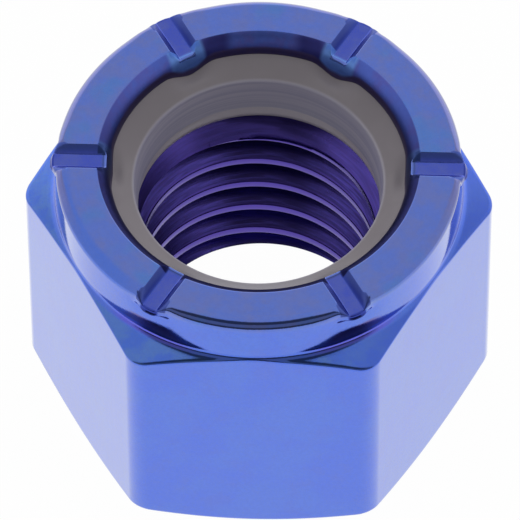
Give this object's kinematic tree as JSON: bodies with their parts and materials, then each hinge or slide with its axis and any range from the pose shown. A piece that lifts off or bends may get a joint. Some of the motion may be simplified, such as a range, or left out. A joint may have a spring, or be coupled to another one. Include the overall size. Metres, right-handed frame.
{
  "type": "hexagon lock nut",
  "caption": "Tall hexagon nut with a round crimped collar that holds a grey plastic locking ring, blue anodised, with a threaded through bore.",
  "frame": {"origin": "centre of the bearing face, on the thread axis", "axes": "+Z along the thread axis from the bearing face to the crimped rim, +X through a hexagon corner, -Y out of a flat"},
  "size_m": [0.0204, 0.018, 0.0149],
  "materials": {
    "anodised_metal": "satin to bright turned metal under a blue to violet anodised film; titanium in the real nut",
    "grey_nylon": "smooth grey nylon with fine turning lines"
  },
  "bodies": {
    "root": {"nut_body": "anodised_metal", "nylon_ring": "grey_nylon"}
  },
  "joints": []
}
